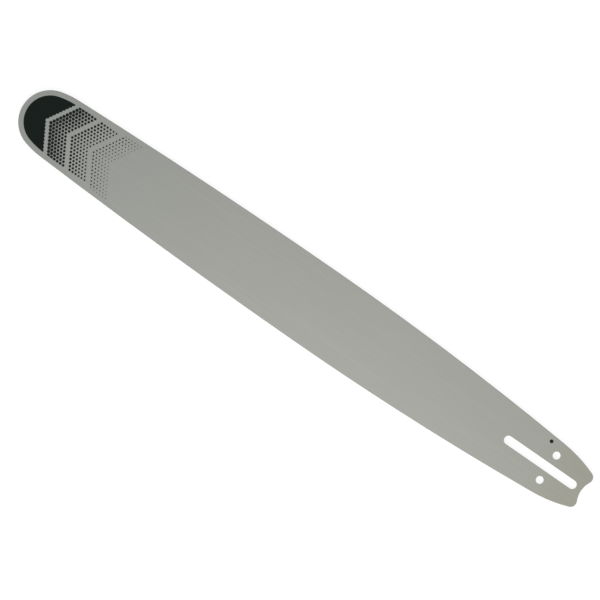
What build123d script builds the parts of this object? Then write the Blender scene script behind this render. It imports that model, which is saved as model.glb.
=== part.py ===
from build123d import *
import os
from math import cos, radians, sin, sqrt

# Hard-nose chainsaw guide bar: one solid of flat steel, in millimetres.
# It lies flat, with +Y towards the nose and +Z up through the thickness.
# The origin is the middle of the stud slot, on the underside.

# Lengths along the bar, from the middle of the stud slot
nose_reach = 644.4
belly_reach = 279.0

# Thickness: two rails with the chain groove between them
rail_thickness = 1.65
groove_width = 1.5
rail_chamfer = 0.4

# Edge: arcs that run into each other from the nose tip to the tail horn
nose_radius = 32.9
nose_sweep = 74.3  # degrees of nose arc on each side of the tip
shoulder_radius = 87.0
belly_width = 83.8
tail_width = 59.5
tail_set_back = 9.9  # where the tail arc starts, behind the middle of the slot
tail_radius = 150.0
horn_radius = 6.5
notch_depth = 3.5

# Chain groove, with a flared mouth at the tail where the drive links enter
groove_depth = 9.0
mouth_flare = 0.45
mouth_length = 12.0

# Stud slot, chain-tension pin holes and oil holes
slot_length = 89.0
slot_width = 9.3
slot_web = 6.2  # metal between the slot and the notch
pin_hole_diameter = 8.2
pin_hole_spacing = 30.4
pin_hole_set_back = 9.7
oil_hole_diameter = 4.0
oil_hole_reach = 2.9
oil_hole_floor_gap = 0.5  # from the hole's wall to the groove floor

# How far a cutter runs past what it cuts
cut_margin = 5.0

bar_thickness = 2 * rail_thickness + groove_width
middle = bar_thickness / 2
tail_reach = slot_length / 2 + slot_web + notch_depth


def crest_radius(point, radius=0.0):
    """Radius of the arc that is widest at the belly and touches a circle about the point."""
    across = belly_width / 2 - point.X
    along = belly_reach - point.Y
    return (across**2 + along**2 - radius**2) / (2 * (across - radius))


# Arc centres on the +X edge, from the nose to the tail
nose_end = Vector(sin(radians(nose_sweep)), cos(radians(nose_sweep)))
nose_centre = Vector(0, nose_reach - nose_radius)
shoulder_centre = nose_centre - nose_end * (shoulder_radius - nose_radius)

front_radius = crest_radius(shoulder_centre, shoulder_radius)
front_centre = Vector(belly_width / 2 - front_radius, belly_reach)
shoulder_end = (shoulder_centre - front_centre).normalized()

tail_start = Vector(tail_width / 2, -tail_set_back)
rear_radius = crest_radius(tail_start)
rear_centre = Vector(belly_width / 2 - rear_radius, belly_reach)
rear_end = (tail_start - rear_centre).normalized()

tail_centre = tail_start - rear_end * tail_radius
horn_y = horn_radius - tail_reach
horn_x = tail_centre.X + sqrt((tail_radius - horn_radius) ** 2 - (horn_y - tail_centre.Y) ** 2)
horn_centre = Vector(horn_x, horn_y)
tail_end = (horn_centre - tail_centre).normalized()

notch_radius = (horn_x**2 + notch_depth**2 - 2 * notch_depth * horn_radius) / (2 * notch_depth)
notch_centre = Vector(0, notch_depth - tail_reach - notch_radius)
horn_end = (notch_centre - horn_centre).normalized()

edge_arcs = [
    (nose_centre, nose_radius),
    (shoulder_centre, shoulder_radius),
    (front_centre, front_radius),
    (rear_centre, rear_radius),
    (tail_centre, tail_radius),
]
edge_normals = [Vector(0, 1), nose_end, shoulder_end, Vector(1, 0), rear_end, tail_end]


def edge(inset):
    """The +X edge from the nose tip to the horn, moved in by the inset about the same centres."""
    return [
        RadiusArc(centre + start * (radius - inset), centre + end * (radius - inset), radius - inset)
        for (centre, radius), start, end in zip(edge_arcs, edge_normals, edge_normals[1:])
    ]


def both_sides(half):
    """A face from the lines of its +X half."""
    curve = Curve() + half
    return make_face(curve + mirror(curve, about=Plane.YZ))


def blank():
    """The flat bar with its nose, belly, horns and notch, and its edges broken by a chamfer."""
    horn = RadiusArc(horn_centre + tail_end * horn_radius, horn_centre + horn_end * horn_radius, horn_radius)
    notch = RadiusArc(horn @ 1, notch_centre + Vector(0, notch_radius), -notch_radius)
    plate = extrude(both_sides(edge(0) + [horn, notch]), bar_thickness)
    return chamfer(plate.faces().filter_by(Axis.Z).edges(), rail_chamfer)


def groove_core():
    """What stays between the groove floors: the edge moved in, run straight out past the tail."""
    floor = edge(groove_depth)
    floor_end = floor[-1] @ 1
    corner = Vector(floor_end.X, -tail_reach - cut_margin)
    run_out = Line(floor_end, corner)
    close = Line(corner, (0, corner.Y))
    return extrude(both_sides(floor + [run_out, close]), bar_thickness)


def groove():
    """The chain groove round the edge, flared at its mouth on each horn."""
    length = nose_reach + tail_reach + 2 * cut_margin
    slab = Box(belly_width + 2 * cut_margin, length, groove_width)
    slab = Pos(0, (nose_reach - tail_reach) / 2, middle) * slab
    mouth_start = mouth_length - tail_reach
    narrow = groove_width / 2
    wide = narrow + mouth_flare
    flare = Plane.YZ * make_face(
        Polyline(
            (mouth_start, middle - narrow),
            (-tail_reach, middle - wide),
            (-tail_reach, middle + wide),
            (mouth_start, middle + narrow),
            close=True,
        )
    )
    mouth = extrude(flare, belly_width / 2, both=True)
    return slab + mouth - groove_core()


def tail_holes():
    """The stud slot, the two pin holes, and an oil hole from each face into the groove."""
    slot = extrude(SlotOverall(slot_length, slot_width, rotation=90), bar_thickness)
    pin_hole = extrude(Circle(pin_hole_diameter / 2), bar_thickness)
    pin_holes = [Pos(side * pin_hole_spacing / 2, -pin_hole_set_back) * pin_hole for side in (-1, 1)]
    edge_x = rear_centre.X + sqrt(rear_radius**2 - (oil_hole_reach - rear_centre.Y) ** 2)
    oil_x = edge_x - groove_depth + oil_hole_floor_gap + oil_hole_diameter / 2
    oil_hole = extrude(Circle(oil_hole_diameter / 2), middle)
    top_oil_hole = Pos(oil_x, oil_hole_reach, middle) * oil_hole
    under_oil_hole = Pos(-oil_x, oil_hole_reach) * oil_hole
    return [slot, *pin_holes, top_oil_hole, under_oil_hole]


guide_bar = blank() - groove() - tail_holes()
guide_bar.label = "guide_bar"

os.makedirs("parts", exist_ok=True)
export_step(guide_bar, "parts/guide_bar.step")
print("front arc radius", round(front_radius, 1), "rear arc radius", round(rear_radius, 1))
print("volume", round(guide_bar.volume), "mm3 in", len(guide_bar.solids()), "solid")
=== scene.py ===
# %% [markdown]
# # A chainsaw guide bar
# A guide bar is one flat piece of steel. The chain runs in a groove round its edge, and its tail
# has a slot and holes that fix it to the saw. The shape comes ready as a mesh in metres, lying
# flat with +Y towards the nose and +Z up, and it stays as it is. This lesson adds what makes it
# look real: the view, the floor, the light, the paint, the bare steel edge and the printed nose.

# %% Load the bar
import math

import bpy
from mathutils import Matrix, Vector


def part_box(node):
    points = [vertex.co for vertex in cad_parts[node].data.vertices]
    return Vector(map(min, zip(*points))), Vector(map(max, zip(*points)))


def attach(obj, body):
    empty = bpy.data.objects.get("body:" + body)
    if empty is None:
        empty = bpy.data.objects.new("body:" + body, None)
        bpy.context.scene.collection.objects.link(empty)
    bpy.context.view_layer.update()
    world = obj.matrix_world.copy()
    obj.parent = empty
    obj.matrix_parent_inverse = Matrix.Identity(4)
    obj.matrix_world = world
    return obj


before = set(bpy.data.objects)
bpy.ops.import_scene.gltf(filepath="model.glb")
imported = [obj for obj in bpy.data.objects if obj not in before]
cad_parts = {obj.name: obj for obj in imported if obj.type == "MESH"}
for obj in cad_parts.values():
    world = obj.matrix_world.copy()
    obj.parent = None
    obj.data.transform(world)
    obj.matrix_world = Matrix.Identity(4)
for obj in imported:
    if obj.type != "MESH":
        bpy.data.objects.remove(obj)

# Blender can open with a cube, a lamp and a camera of its own.
for startup_name in ("Cube", "Light", "Camera"):
    startup = bpy.data.objects.get(startup_name)
    if startup:
        bpy.data.objects.remove(startup)

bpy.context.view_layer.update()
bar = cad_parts["guide_bar"]
low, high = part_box("guide_bar")
mm = 0.001
print("bar", [round(side / mm, 1) for side in high - low], "mm")

# %% [markdown]
# ## The view
# The bar is seen from straight above, at a slant across the picture, with its nose at the upper
# left. An orthographic camera could do this too, but a very long lens from five metres up gives
# the same true outline and still behaves like a real camera when it is moved round the bar.

# %% Camera
picture_width = 614.9 * mm  # how much of the bar's upper face fits across the picture
picture_middle = (-3.77 * mm, 297.31 * mm)
bar_slope = math.radians(34.767)  # how far the bar dips from left to right
camera_height = 5.0

camera_data = bpy.data.cameras.new("picture_camera")
camera_data.lens = camera_data.sensor_width * camera_height / picture_width
camera = bpy.data.objects.new("picture_camera", camera_data)
camera.location = (*picture_middle, high.z + camera_height)
camera.rotation_euler = (0, 0, bar_slope - math.pi / 2)
bpy.context.scene.collection.objects.link(camera)
bpy.context.scene.camera = camera
bpy.context.scene.view_settings.view_transform = "Standard"
print("lens", round(camera_data.lens, 1), "mm")

# %% [markdown]
# ## Two helpers for every tree of nodes
# Shaders and Geometry Nodes are both trees of nodes, so one small function serves them all: it
# adds a node, sets its settings, and then links each input or gives it a plain value. Colours are
# written as the hex values that a paint chart or a picture gives, and shaders want them linear.

# %% Helpers
def add_node(tree, kind, inputs=None, **settings):
    """One node in the tree. An input that is a socket is linked, and any other is a plain value."""
    node = tree.nodes.new(kind)
    for name, value in settings.items():
        setattr(node, name, value)
    for name, value in (inputs or {}).items():
        if isinstance(value, bpy.types.NodeSocket):
            tree.links.new(value, node.inputs[name])
        else:
            node.inputs[name].default_value = value
    return node


def linear(hex_colour):
    """An sRGB colour such as #9D9E98 as linear red, green, blue and alpha, by the sRGB curve."""
    shares = [int(hex_colour[i : i + 2], 16) / 255 for i in (1, 3, 5)]
    return [s / 12.92 if s <= 0.04045 else ((s + 0.055) / 1.055) ** 2.4 for s in shares] + [1.0]


print("middle grey #808080 is", round(linear("#808080")[0], 3), "in linear light")

# %% [markdown]
# ## Even light from all round
# A product like this is photographed on a pale sweep under soft light. The sky of the studio is
# an even white, so that no shadow is hard. More lamps could whiten the background too, but they would
# also bleach the paint. Instead, a light path tells which rays look straight at the backdrop, or see
# it mirrored in metal: those get full white, and only the dimmer level lights the bar.

# %% Sky
sky_level = 0.63  # what lights the bar, where 1 is white


def seen_as_backdrop(tree):
    """A socket that is 1 for rays that look at the backdrop itself, and 0 for light that bounces."""
    path = add_node(tree, "ShaderNodeLightPath").outputs
    mirrored = {0: path["Is Glossy Ray"], 1: path["Is Transmission Ray"]}
    mirrored = add_node(tree, "ShaderNodeMath", mirrored, operation="MAXIMUM").outputs[0]
    seen = {0: path["Is Camera Ray"], 1: mirrored}
    return add_node(tree, "ShaderNodeMath", seen, operation="MAXIMUM").outputs[0]


world = bpy.data.worlds.new("white_studio")
bpy.context.scene.world = world
world.use_nodes = True
tree = world.node_tree
tree.nodes.clear()
level = {"Value": seen_as_backdrop(tree), "To Min": sky_level, "To Max": 1.0}
level = add_node(tree, "ShaderNodeMapRange", level).outputs["Result"]
sky = add_node(tree, "ShaderNodeBackground", {"Color": linear("#FFFFFF"), "Strength": level})
add_node(tree, "ShaderNodeOutputWorld", {"Surface": sky.outputs[0]})
print("the sky lights the bar at", sky_level)

# %% [markdown]
# ## The floor
# A real sweep curves up behind the product. Here one very large flat sheet does the same, because no
# view finds its edge. Its own grey catches the light and the bar's shadow, and a glow that only
# backdrop rays see makes up what the sky's light leaves short of white. It lies a hair under the
# bar, because two faces in one plane flicker.

# %% Floor
floor_reach = 20.0
floor_gap = 0.05 * mm
paper_grey = linear("#8E8E8E")
floor_glow = 1.0 - sky_level * paper_grey[0]

corners = [(-1, -1), (1, -1), (1, 1), (-1, 1)]
corners = [(x * floor_reach, y * floor_reach, low.z - floor_gap) for x, y in corners]
floor_mesh = bpy.data.meshes.new("studio_floor")
floor_mesh.from_pydata(corners, [], [(0, 1, 2, 3)])
floor = bpy.data.objects.new("studio_floor", floor_mesh)
bpy.context.scene.collection.objects.link(floor)

# Matt paper: it has no gloss at all, so it shows light and shadow and mirrors nothing.
paper = bpy.data.materials.new("matt_paper")
paper.use_nodes = True
tree = paper.node_tree
tree.nodes.clear()
glow = {0: seen_as_backdrop(tree), 1: floor_glow}
paper_look = {
    "Base Color": paper_grey,
    "Roughness": 1.0,
    "Specular IOR Level": 0.0,
    "Emission Color": linear("#FFFFFF"),
    "Emission Strength": add_node(tree, "ShaderNodeMath", glow, operation="MULTIPLY").outputs[0],
}
shader = add_node(tree, "ShaderNodeBsdfPrincipled", paper_look)
add_node(tree, "ShaderNodeOutputMaterial", {"Surface": shader.outputs[0]})
floor_mesh.materials.append(paper)
print("floor", 2 * floor_reach, "m square, glow", round(floor_glow, 3))

# %% [markdown]
# ## The softbox
# The bar isn't equally bright all over: it is lightest along its lower edge, and falls off towards
# the nose. One strip softbox beside that edge does this, with its long side along the bar, because
# light fades with the square of the distance. Cameras don't see it, so it never blocks a view.

# %% Softbox
softbox_place = Vector((-0.40, 0.15, 0.45))
softbox_target = Vector((0.0, 0.17, 0.0))
softbox_length = 0.6
softbox_width = 0.3
softbox_power = 2.4

softbox_data = bpy.data.lights.new("softbox", "AREA")
softbox_data.shape = "RECTANGLE"
softbox_data.size = softbox_length
softbox_data.size_y = softbox_width
softbox_data.energy = softbox_power
softbox = bpy.data.objects.new("softbox", softbox_data)
softbox.location = softbox_place
softbox.rotation_euler = (softbox_target - softbox_place).to_track_quat("-Z", "Y").to_euler()
softbox.visible_camera = False
bpy.context.scene.collection.objects.link(softbox)
print("softbox", softbox_power, "W at", round((softbox_target - softbox_place).length, 2), "m")

# %% [markdown]
# ## Which surface is which
# The two flat faces and their chamfers are painted. The edge, the slot and the holes were finished
# after painting, so their walls are bare. The groove is darkened: partly the dark skin from the heat
# that hardened the rails, and partly painted shade for the deep, narrow groove. Each triangle could
# get a material of its own, but the mesh stays as it is, so one material tells these apart by place:
# the height of a point says whether it is on a face, and whether it is as high as the groove.

# %% Masks for the bar's finish
thickness = high.z - low.z
groove_half_width = 0.76 * mm  # the groove's walls lie just inside this, on both sides of the middle
paint_lap = 0.41 * mm  # how far the paint runs over the edge of a face

finish = bpy.data.materials.new("satin_paint_on_ground_steel")
finish.use_nodes = True
tree = finish.node_tree
tree.nodes.clear()
place = add_node(tree, "ShaderNodeTexCoord").outputs["Object"]
x, y, z = add_node(tree, "ShaderNodeSeparateXYZ", {0: place}).outputs
lift = {0: z, 1: low.z + thickness / 2}
lift = add_node(tree, "ShaderNodeMath", lift, operation="SUBTRACT").outputs[0]
lift = add_node(tree, "ShaderNodeMath", {0: lift}, operation="ABSOLUTE").outputs[0]
face_level = thickness / 2 - paint_lap
bare = add_node(tree, "ShaderNodeMath", {0: lift, 1: face_level}, operation="LESS_THAN").outputs[0]
within = {0: lift, 1: groove_half_width}
within = add_node(tree, "ShaderNodeMath", within, operation="LESS_THAN").outputs[0]
print("paint from", round(face_level / mm, 2), "mm off the middle of the steel")

# %% [markdown]
# ### The groove beside the slot
# The walls of the slot and the pin holes are as high as the groove, but they are bright. So beside
# them the groove is only what lies further out than a line, which closes in towards the tail, where
# the bar is narrower. Past the slot nothing else is cut into the bar, and no line is needed.

# %% Mask for the groove
holes_end = 46 * mm  # nothing but the groove is cut into the bar past this point
tail_line_y = -47 * mm  # the line has one end here, near the tail
tail_line_x = 12.2 * mm
wide_line_y = -14 * mm  # and from here on it runs straight along the bar
wide_line_x = 19.7 * mm

line = {
    "Value": y,
    "From Min": tail_line_y,
    "From Max": wide_line_y,
    "To Min": tail_line_x,
    "To Max": wide_line_x,
}
line = add_node(tree, "ShaderNodeMapRange", line).outputs["Result"]
side = add_node(tree, "ShaderNodeMath", {0: x}, operation="ABSOLUTE").outputs[0]
outside = add_node(tree, "ShaderNodeMath", {0: side, 1: line}, operation="GREATER_THAN").outputs[0]
ahead = add_node(tree, "ShaderNodeMath", {0: y, 1: holes_end}, operation="GREATER_THAN").outputs[0]
groove = {0: outside, 1: ahead}
groove = add_node(tree, "ShaderNodeMath", groove, operation="MAXIMUM").outputs[0]
groove = {0: within, 1: groove}
groove = add_node(tree, "ShaderNodeMath", groove, operation="MULTIPLY").outputs[0]
print("groove", round(2 * groove_half_width / mm, 2), "mm wide, masked with", len(tree.nodes), "nodes")

# %% [markdown]
# ## The paint
# Satin grey paint, sprayed and baked. From a step away it is one calm grey, but it isn't flat: it is
# a little cloudy where the coat is thicker, and it has faint streaks along the bar from the ground
# steel under it. Close up it has the soft ripple called orange peel. A photograph of paint could
# give these patterns, but noise never repeats, and its scale comes straight from their real sizes.

# %% Paint patterns
cloud_size = 90 * mm
streak_width = 2.5 * mm
streak_length = 160 * mm
peel_size = 1.4 * mm

clouds = {"Vector": place, "Scale": 1 / cloud_size, "Detail": 3.0}
clouds = add_node(tree, "ShaderNodeTexNoise", clouds).outputs["Fac"]
along = {"Vector": place, "Scale": (1 / streak_width, 1 / streak_length, 1 / streak_width)}
along = add_node(tree, "ShaderNodeMapping", along).outputs["Vector"]
streaks = {"Vector": along, "Scale": 1.0, "Detail": 2.0}
streaks = add_node(tree, "ShaderNodeTexNoise", streaks).outputs["Fac"]
peel = {"Vector": place, "Scale": 1 / peel_size, "Detail": 1.0}
peel = add_node(tree, "ShaderNodeTexNoise", peel).outputs["Fac"]
print("orange peel", round(peel_size / mm, 1), "mm, clouds", round(cloud_size / mm), "mm")

# %% [markdown]
# ### The paint's colour
# Clouds and streaks only shift the grey a little. The grey is also a touch yellower towards the tail,
# most of all behind the pin holes, and darker and cooler at the nose, which is painted shade where the
# light falls off towards the nose. These tints and the painted shade are multiplied in, because a plain
# mix would wash the clouds and streaks out. Where the coat is thicker it is also slightly duller.

# %% Paint colour
MIX_A, MIX_B, MIX_COLOUR = 6, 7, 2  # the colour sockets of a Mix node
paint_grey = linear("#9D9E98")
paint_cloud = linear("#999A94")
paint_streak = linear("#A1A29C")
streak_start = 0.45  # the level of the noise at which a streak begins to show
streak_full = 0.8
streak_strength = 0.6
paint_tints_and_shade = [
    (250 * mm, 20 * mm, linear("#FEFEFB")),  # grows from the middle of the bar to the slot
    (10 * mm, -35 * mm, linear("#FCF9F3")),  # grows from the middle of the slot to the tail
    # painted shade: this tint darkens and cools the grey towards the nose, where the light falls off
    (400 * mm, 640 * mm, linear("#F7FAFC")),  # grows from the front half of the bar to the nose
]
paint_rough_low = 0.40
paint_rough_high = 0.48
cloud_low = 0.3  # the roughness changes between this level of the noise and the next
cloud_high = 0.7

cloudy = {0: clouds, MIX_A: paint_grey, MIX_B: paint_cloud}
cloudy = add_node(tree, "ShaderNodeMix", cloudy, data_type="RGBA").outputs[MIX_COLOUR]
streaky = {"Value": streaks, "From Min": streak_start, "From Max": streak_full, "To Max": streak_strength}
streaky = add_node(tree, "ShaderNodeMapRange", streaky).outputs["Result"]
streaky = {0: streaky, MIX_A: cloudy, MIX_B: paint_streak}
paint_colour = add_node(tree, "ShaderNodeMix", streaky, data_type="RGBA").outputs[MIX_COLOUR]
for tint_start, tint_end, tint in paint_tints_and_shade:
    share = {"Value": y, "From Min": tint_start, "From Max": tint_end}
    share = add_node(tree, "ShaderNodeMapRange", share, interpolation_type="SMOOTHSTEP").outputs["Result"]
    tinted_and_shaded = {0: share, MIX_A: paint_colour, MIX_B: tint}
    tinted_and_shaded = add_node(tree, "ShaderNodeMix", tinted_and_shaded, data_type="RGBA", blend_type="MULTIPLY")
    paint_colour = tinted_and_shaded.outputs[MIX_COLOUR]

paint_rough = {
    "Value": clouds,
    "From Min": cloud_low,
    "From Max": cloud_high,
    "To Min": paint_rough_low,
    "To Max": paint_rough_high,
}
paint_rough = add_node(tree, "ShaderNodeMapRange", paint_rough).outputs["Result"]
print("paint:", len(paint_tints_and_shade), "tints, roughness", paint_rough_low, "to", paint_rough_high)

# %% [markdown]
# ## The bare steel
# The edge is ground steel: grey, bright and finely scratched along the bar by the grinding wheel.
# Real scratches are a few hundredths of a millimetre apart, far too fine to see here, so they are
# drawn a quarter of a millimetre apart. In the groove the same steel is dark and dull: partly its heat
# skin, and partly painted shade of the deep, narrow groove.

# %% Steel
NUMBER_A, NUMBER_B = 2, 3  # the number sockets of a Mix node
steel_grey = linear("#C2C3C3")
steel_scratch = linear("#A9AAAB")
# painted shade: this dark colour is partly the groove's heat skin and partly the shade of the deep groove
groove_skin_and_shade = linear("#3A3836")
scratch_width = 0.25 * mm
scratch_length = 9 * mm
steel_rough_low = 0.24
steel_rough_high = 0.42
groove_rough = 0.6

across = {"Vector": place, "Scale": (1 / scratch_length, 1 / scratch_length, 1 / scratch_width)}
across = add_node(tree, "ShaderNodeMapping", across).outputs["Vector"]
scratches = {"Vector": across, "Scale": 1.0, "Detail": 3.0}
scratches = add_node(tree, "ShaderNodeTexNoise", scratches).outputs["Fac"]
steel = {0: scratches, MIX_A: steel_grey, MIX_B: steel_scratch}
steel = add_node(tree, "ShaderNodeMix", steel, data_type="RGBA").outputs[MIX_COLOUR]
steel = {0: groove, MIX_A: steel, MIX_B: groove_skin_and_shade}
steel_colour = add_node(tree, "ShaderNodeMix", steel, data_type="RGBA").outputs[MIX_COLOUR]
steel_rough = {"Value": scratches, "To Min": steel_rough_low, "To Max": steel_rough_high}
steel_rough = add_node(tree, "ShaderNodeMapRange", steel_rough).outputs["Result"]
steel_rough = {0: groove, NUMBER_A: steel_rough, NUMBER_B: groove_rough}
steel_rough = add_node(tree, "ShaderNodeMix", steel_rough).outputs[0]
print("scratches", round(scratch_width / mm, 2), "mm apart")

# %% [markdown]
# ## Paint and steel in one shader
# Paint is pigment in a clear binder, so it isn't metallic and reflects about four percent. Steel is
# metallic: it reflects far more, and its colour tints the reflection. Two shaders could be mixed, but
# one Principled shader can be either, and an exported model keeps only one. So the mask switches its
# colour, metallic and roughness, and its bump from orange peel to scratches.

# %% Finish of the bar
bump_height = 0.012 * mm

colour = {0: bare, MIX_A: paint_colour, MIX_B: steel_colour}
rough = {0: bare, NUMBER_A: paint_rough, NUMBER_B: steel_rough}
relief = {0: bare, NUMBER_A: peel, NUMBER_B: scratches}
relief = add_node(tree, "ShaderNodeMix", relief).outputs[0]
relief = {"Height": relief, "Distance": bump_height}
bar_look = {
    "Base Color": add_node(tree, "ShaderNodeMix", colour, data_type="RGBA").outputs[MIX_COLOUR],
    "Metallic": bare,
    "Roughness": add_node(tree, "ShaderNodeMix", rough).outputs[0],
    "Normal": add_node(tree, "ShaderNodeBump", relief).outputs["Normal"],
}
shader = add_node(tree, "ShaderNodeBsdfPrincipled", bar_look)
add_node(tree, "ShaderNodeOutputMaterial", {"Surface": shader.outputs[0]})
bar.data.materials.clear()
bar.data.materials.append(finish)
print("finish of the bar:", len(tree.nodes), "nodes")

# %% [markdown]
# ## The printing ink
# The nose is screen printed in near-black ink. Screen ink dries dull and slightly uneven, with
# little gloss, so its specular level is low and a fine noise varies its grey and its roughness.

# %% Ink
ink_black = linear("#0A110F")
ink_thin = linear("#202725")
ink_grain = 0.8 * mm  # the mesh of the screen is finer, and is drawn this coarse to show
ink_rough_low = 0.5
ink_rough_high = 0.7
ink_gloss = 0.05  # the specular level, where ordinary paint has 0.5

ink = bpy.data.materials.new("matt_screen_printing_ink")
ink.use_nodes = True
tree = ink.node_tree
tree.nodes.clear()
place = add_node(tree, "ShaderNodeTexCoord").outputs["Object"]
grain = {"Vector": place, "Scale": 1 / ink_grain, "Detail": 2.0}
grain = add_node(tree, "ShaderNodeTexNoise", grain).outputs["Fac"]
uneven = {0: grain, MIX_A: ink_black, MIX_B: ink_thin}
ink_rough = {"Value": grain, "To Min": ink_rough_low, "To Max": ink_rough_high}
ink_look = {
    "Base Color": add_node(tree, "ShaderNodeMix", uneven, data_type="RGBA").outputs[MIX_COLOUR],
    "Roughness": add_node(tree, "ShaderNodeMapRange", ink_rough).outputs["Result"],
    "Specular IOR Level": ink_gloss,
}
shader = add_node(tree, "ShaderNodeBsdfPrincipled", ink_look)
add_node(tree, "ShaderNodeOutputMaterial", {"Surface": shader.outputs[0]})
print("ink:", len(tree.nodes), "nodes")

# %% [markdown]
# ## The printed nose
# The print is a honeycomb that is solid at the tip and thins out along the bar, cut by clear
# chevrons. The paint's material could draw it, but a film of its own keeps crisp edges from close by.
# Hundreds of cells follow one rule, so Geometry Nodes make them: a grid of points is slanted into
# chevrons, the points off the printed field are dropped, and each that is left gets a six-sided cell,
# smaller in each row. The tree's inputs are the sizes a printer would ask for.

# %% Inputs of the print
print_inputs = {
    "Bar": ("NodeSocketObject", bar),
    "Ink": ("NodeSocketMaterial", ink),
    "Face height": ("NodeSocketFloat", high.z),
    "Tip": ("NodeSocketFloat", high.y),
    "Border": ("NodeSocketFloat", 5.0 * mm),
    "Pitch": ("NodeSocketFloat", 3.7 * mm),
    "Rows in a band": ("NodeSocketFloat", 6.0),
    "Rows": ("NodeSocketFloat", 24.0),
    "Solid rows": ("NodeSocketFloat", 6.0),
    "Clear stripe": ("NodeSocketFloat", 4.4 * mm),
    "First open cell": ("NodeSocketFloat", 0.91),  # a share of the pitch, as the next one is
    "Last open cell": ("NodeSocketFloat", 0.2),
    "Film": ("NodeSocketFloat", 0.03 * mm),
    "Sunk": ("NodeSocketFloat", 0.01 * mm),
}
honeycomb = bpy.data.node_groups.new("honeycomb_print", "GeometryNodeTree")
identifiers = {}
for name, (kind, _) in print_inputs.items():
    socket = honeycomb.interface.new_socket(name, in_out="INPUT", socket_type=kind)
    identifiers[name] = socket.identifier
honeycomb.interface.new_socket("Print", in_out="OUTPUT", socket_type="NodeSocketGeometry")
tree = honeycomb
size = add_node(tree, "NodeGroupInput").outputs
print("print:", len(print_inputs), "inputs")

# %% [markdown]
# ### The face and its rim
# The cells have to keep clear of the bar's edge, so the tree takes the upper face from the bar
# itself. The mesh is loose triangles, and merging them first leaves only the true rim with a
# single triangle beside it.

# %% Upper face and rim
weld_reach = 0.001 * mm
face_slack = 0.05 * mm
rim_limit = 1.5  # an edge of the rim has one triangle beside it, and any other edge has two

steel_mesh = {"Object": size["Bar"]}
steel_mesh = add_node(tree, "GeometryNodeObjectInfo", steel_mesh).outputs["Geometry"]
steel_mesh = {"Geometry": steel_mesh, "Distance": weld_reach}
steel_mesh = add_node(tree, "GeometryNodeMergeByDistance", steel_mesh).outputs[0]
here = add_node(tree, "GeometryNodeInputPosition").outputs[0]
_, along_bar, height = add_node(tree, "ShaderNodeSeparateXYZ", {0: here}).outputs
just_below = {0: size["Face height"], 1: face_slack}
just_below = add_node(tree, "ShaderNodeMath", just_below, operation="SUBTRACT").outputs[0]
on_face = {0: height, 1: just_below}
on_face = add_node(tree, "ShaderNodeMath", on_face, operation="GREATER_THAN").outputs[0]
upper = {"Geometry": steel_mesh, "Selection": on_face}
upper = add_node(tree, "GeometryNodeSeparateGeometry", upper, domain="FACE").outputs["Selection"]
beside = add_node(tree, "GeometryNodeInputMeshEdgeNeighbors").outputs[0]
lone = add_node(tree, "ShaderNodeMath", {0: beside, 1: rim_limit}, operation="LESS_THAN").outputs[0]
rim = {"Geometry": upper, "Selection": lone}
rim = add_node(tree, "GeometryNodeSeparateGeometry", rim, domain="EDGE").outputs["Selection"]
print("upper face: within", round(face_slack / mm, 2), "mm of", round(high.z / mm, 2), "mm")

# %% [markdown]
# ### A grid of points
# Every cell sits on a point of one grid, with its columns along the bar. In a honeycomb the step from
# column to column is the step along a column times half the square root of three. Some rows are
# started ahead of the tip, because a chevron leaves the nose's shoulders empty.

# %% Grid of points
root3 = math.sqrt(3)
columns = 21
rows_ahead = 5
grid_rows = rows_ahead + int(print_inputs["Rows"][1])

column_step = {0: size["Pitch"], 1: root3 / 2}
column_step = add_node(tree, "ShaderNodeMath", column_step, operation="MULTIPLY").outputs[0]
wide = {0: column_step, 1: float(columns - 1)}
wide = add_node(tree, "ShaderNodeMath", wide, operation="MULTIPLY").outputs[0]
long = {0: size["Pitch"], 1: float(grid_rows - 1)}
long = add_node(tree, "ShaderNodeMath", long, operation="MULTIPLY").outputs[0]
grid = {"Size X": wide, "Size Y": long, "Vertices X": columns, "Vertices Y": grid_rows}
grid = add_node(tree, "GeometryNodeMeshGrid", grid).outputs["Mesh"]
print("grid:", columns, "columns of", grid_rows, "points")

# %% [markdown]
# ### Chevron rows
# In a honeycomb the cells beside a column sit half a step lower. So a plain grid becomes a honeycomb
# when every point drops by its distance from the middle over the square root of three, and each row
# turns into a chevron. After every few rows a gap is added.

# %% Chevron rows
first_row = -0.6  # the middle of the first row, in pitches from the border at the tip

grid_x, grid_y, _ = add_node(tree, "ShaderNodeSeparateXYZ", {0: here}).outputs
row = {0: grid_y, 1: size["Pitch"]}
row = add_node(tree, "ShaderNodeMath", row, operation="DIVIDE").outputs[0]
row = {0: (grid_rows - 1) / 2 - rows_ahead, 1: row}
row = add_node(tree, "ShaderNodeMath", row, operation="SUBTRACT").outputs[0]
row = add_node(tree, "ShaderNodeMath", {0: row}, operation="ROUND").outputs[0]
band = {0: row, 1: size["Rows in a band"]}
band = add_node(tree, "ShaderNodeMath", band, operation="DIVIDE").outputs[0]
band = add_node(tree, "ShaderNodeMath", {0: band}, operation="FLOOR").outputs[0]
band = add_node(tree, "ShaderNodeMath", {0: band, 1: 0.0}, operation="MAXIMUM").outputs[0]

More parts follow.
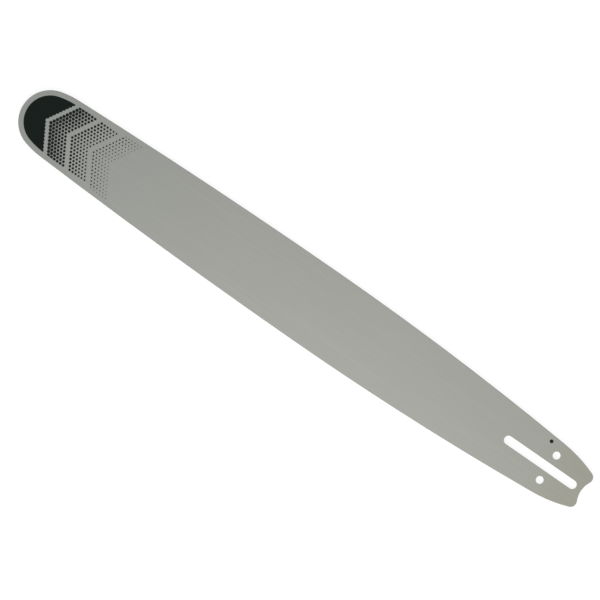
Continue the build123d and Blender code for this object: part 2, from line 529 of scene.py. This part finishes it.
drop = add_node(tree, "ShaderNodeMath", {0: grid_x}, operation="ABSOLUTE").outputs[0]
drop = add_node(tree, "ShaderNodeMath", {0: drop, 1: root3}, operation="DIVIDE").outputs[0]
drop = {0: row, 1: size["Pitch"], 2: drop}
drop = add_node(tree, "ShaderNodeMath", drop, operation="MULTIPLY_ADD").outputs[0]
drop = {0: band, 1: size["Clear stripe"], 2: drop}
drop = add_node(tree, "ShaderNodeMath", drop, operation="MULTIPLY_ADD").outputs[0]
first = {0: size["Tip"], 1: size["Border"]}
first = add_node(tree, "ShaderNodeMath", first, operation="SUBTRACT").outputs[0]
first = {0: size["Pitch"], 1: first_row, 2: first}
first = add_node(tree, "ShaderNodeMath", first, operation="MULTIPLY_ADD").outputs[0]
reach = add_node(tree, "ShaderNodeMath", {0: first, 1: drop}, operation="SUBTRACT").outputs[0]
foot = {0: size["Face height"], 1: size["Sunk"]}
foot = add_node(tree, "ShaderNodeMath", foot, operation="SUBTRACT").outputs[0]
spot = {"X": grid_x, "Y": reach, "Z": foot}
spot = add_node(tree, "ShaderNodeCombineXYZ", spot).outputs[0]
print("each row slopes by", round(math.degrees(math.atan(1 / root3))), "degrees on both sides")

# %% [markdown]
# ### Size of each cell
# The cells of the first rows fill the pitch and touch each other. After them each row is narrower
# than the last by the same amount. The row number is stored before the points move, because it is
# read from their places.

# %% Size of each cell
stored = {"Geometry": grid, "Name": "row", "Value": row}
stored = add_node(tree, "GeometryNodeStoreNamedAttribute", stored, data_type="FLOAT").outputs[0]
moved = {"Geometry": stored, "Position": spot}
moved = add_node(tree, "GeometryNodeSetPosition", moved).outputs[0]
own_row = {"Name": "row"}
own_row = add_node(tree, "GeometryNodeInputNamedAttribute", own_row, data_type="FLOAT").outputs[0]
open_share = {
    "Value": own_row,
    "From Min": size["Solid rows"],
    "From Max": size["Rows"],
    "To Min": size["First open cell"],
    "To Max": size["Last open cell"],
}
open_share = add_node(tree, "ShaderNodeMapRange", open_share).outputs["Result"]
solid = {0: own_row, 1: size["Solid rows"]}
solid = add_node(tree, "ShaderNodeMath", solid, operation="LESS_THAN").outputs[0]
share = {0: solid, 1: open_share}
share = add_node(tree, "ShaderNodeMath", share, operation="MAXIMUM").outputs[0]
radius = {0: share, 1: size["Pitch"]}
radius = add_node(tree, "ShaderNodeMath", radius, operation="MULTIPLY").outputs[0]
radius = add_node(tree, "ShaderNodeMath", {0: radius, 1: root3}, operation="DIVIDE").outputs[0]
print("solid cells are", round(print_inputs["Pitch"][1] / mm, 1), "mm across their flat sides")

# %% [markdown]
# ### Cells that are kept
# A cell that lies in the border along the rim, or isn't over the face at all, is dropped. The smaller
# it is, the more of it has to be clear of the border, so that no specks are left there. A ray shot
# down from above each point tells whether it is over the face.

# %% Cells that are kept
flat_share = root3 / 2  # from the middle of a cell to its flat side, as a share of its radius
ray_start = 1 * mm
ray_length = 2 * mm

nearest = {0: rim, "Sample Position": here}
nearest = add_node(tree, "GeometryNodeProximity", nearest, target_element="EDGES").outputs["Distance"]
clear = {0: share, 1: radius}
clear = add_node(tree, "ShaderNodeMath", clear, operation="MULTIPLY").outputs[0]
clear = {0: clear, 1: flat_share, 2: nearest}
clear = add_node(tree, "ShaderNodeMath", clear, operation="MULTIPLY_ADD").outputs[0]
clear = {0: clear, 1: size["Border"]}
clear = add_node(tree, "ShaderNodeMath", clear, operation="GREATER_THAN").outputs[0]
above = {0: here, 1: (0.0, 0.0, ray_start)}
above = add_node(tree, "ShaderNodeVectorMath", above, operation="ADD").outputs[0]
ray = {
    "Target Geometry": upper,
    "Source Position": above,
    "Ray Direction": (0.0, 0.0, -1.0),
    "Ray Length": ray_length,
}
over_face = add_node(tree, "GeometryNodeRaycast", ray).outputs["Is Hit"]
kept = {0: clear, 1: over_face}
kept = add_node(tree, "ShaderNodeMath", kept, operation="MULTIPLY").outputs[0]
points = {"Geometry": moved, "Selection": kept}
points = add_node(tree, "GeometryNodeSeparateGeometry", points, domain="POINT").outputs["Selection"]
print("border", round(print_inputs["Border"][1] / mm, 1), "mm wide along the rim")

# %% [markdown]
# ### Six-sided cells
# Each cell starts as a flat six-sided tile. The tiles of the solid rows share their sides, so welding
# makes one sheet of them. A copy that is raised, with walls round it, and the same tiles turned over
# below it make a closed film, sunk a little into the paint. So the print is real geometry with no open
# faces. The instances are realised first, because an exported mesh has no instances.

# %% Cells
cell_sides = 6

tile = {"Vertices": cell_sides, "Radius": 1.0}
tile = add_node(tree, "GeometryNodeMeshCircle", tile, fill_type="NGON").outputs["Mesh"]
spread = {"X": radius, "Y": radius, "Z": 1.0}
spread = add_node(tree, "ShaderNodeCombineXYZ", spread).outputs[0]
tiles = {"Points": points, "Instance": tile, "Scale": spread}
tiles = add_node(tree, "GeometryNodeInstanceOnPoints", tiles).outputs[0]
tiles = add_node(tree, "GeometryNodeRealizeInstances", {"Geometry": tiles}).outputs[0]
tiles = {"Geometry": tiles, "Distance": weld_reach}
tiles = add_node(tree, "GeometryNodeMergeByDistance", tiles).outputs[0]

rise = {0: size["Film"], 1: size["Sunk"]}
rise = add_node(tree, "ShaderNodeMath", rise, operation="ADD").outputs[0]
rise = add_node(tree, "ShaderNodeCombineXYZ", {"Z": rise}).outputs[0]
raised = {"Mesh": tiles, "Offset": rise, "Individual": False}
raised = add_node(tree, "GeometryNodeExtrudeMesh", raised, mode="FACES").outputs["Mesh"]
under = add_node(tree, "GeometryNodeFlipFaces", {"Mesh": tiles}).outputs[0]
both = add_node(tree, "GeometryNodeJoinGeometry", {"Geometry": raised})
tree.links.new(under, both.inputs["Geometry"])
cells = {"Geometry": both.outputs[0], "Distance": weld_reach}
cells = add_node(tree, "GeometryNodeMergeByDistance", cells).outputs[0]
print("film", round(print_inputs["Film"][1] / mm, 3), "mm proud of the paint")

# %% [markdown]
# ### A clean border
# A printing screen ends in a clean line, so the cells along the rim are cut. A strip that reaches as
# far as the border on both sides of the rim is swept along it, and a boolean takes it off the cells.

# %% Border
strip_height = 1 * mm

past_holes = {0: along_bar, 1: holes_end}
past_holes = add_node(tree, "ShaderNodeMath", past_holes, operation="GREATER_THAN").outputs[0]
outline = {"Geometry": rim, "Selection": past_holes}
outline = add_node(tree, "GeometryNodeSeparateGeometry", outline, domain="EDGE").outputs["Selection"]
outline = add_node(tree, "GeometryNodeMeshToCurve", {"Mesh": outline}).outputs[0]
outline = add_node(tree, "GeometryNodeSetCurveNormal", {"Curve": outline}, mode="Z_UP").outputs[0]
strip_width = {0: size["Border"], 1: size["Border"]}
strip_width = add_node(tree, "ShaderNodeMath", strip_width, operation="ADD").outputs[0]
section = {"Width": strip_width, "Height": strip_height}
section = add_node(tree, "GeometryNodeCurvePrimitiveQuadrilateral", section).outputs[0]
strip = {"Curve": outline, "Profile Curve": section, "Fill Caps": True}
strip = add_node(tree, "GeometryNodeCurveToMesh", strip).outputs[0]
cells = {"Mesh 1": cells, "Mesh 2": strip}
cells = add_node(tree, "GeometryNodeMeshBoolean", cells, operation="DIFFERENCE", solver="EXACT")
cells = {"Geometry": cells.outputs["Mesh"], "Shade Smooth": False}
cells = add_node(tree, "GeometryNodeSetShadeSmooth", cells).outputs[0]
cells = {"Geometry": cells, "Material": size["Ink"]}
cells = add_node(tree, "GeometryNodeSetMaterial", cells).outputs[0]
add_node(tree, "NodeGroupOutput", {"Print": cells})
print("honeycomb tree:", len(tree.nodes), "nodes")

# %% [markdown]
# ### From tree to mesh
# The modifier works on an empty mesh. It could stay on the piece, but an export wants a plain mesh, so
# its result is copied to one and the modifier goes. The print then rides on the bar.

# %% Bake the print
nose_print = bpy.data.objects.new("nose_print", bpy.data.meshes.new("nose_print"))
bpy.context.scene.collection.objects.link(nose_print)
maker = nose_print.modifiers.new("honeycomb", "NODES")
maker.node_group = honeycomb
for name, (_, value) in print_inputs.items():
    maker[identifiers[name]] = value
evaluated = nose_print.evaluated_get(bpy.context.evaluated_depsgraph_get())
baked = bpy.data.meshes.new_from_object(evaluated)
nose_print.modifiers.clear()
nose_print.data = baked
baked.name = "nose_print"
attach(nose_print, "root")
print("print:", len(baked.polygons), "faces")
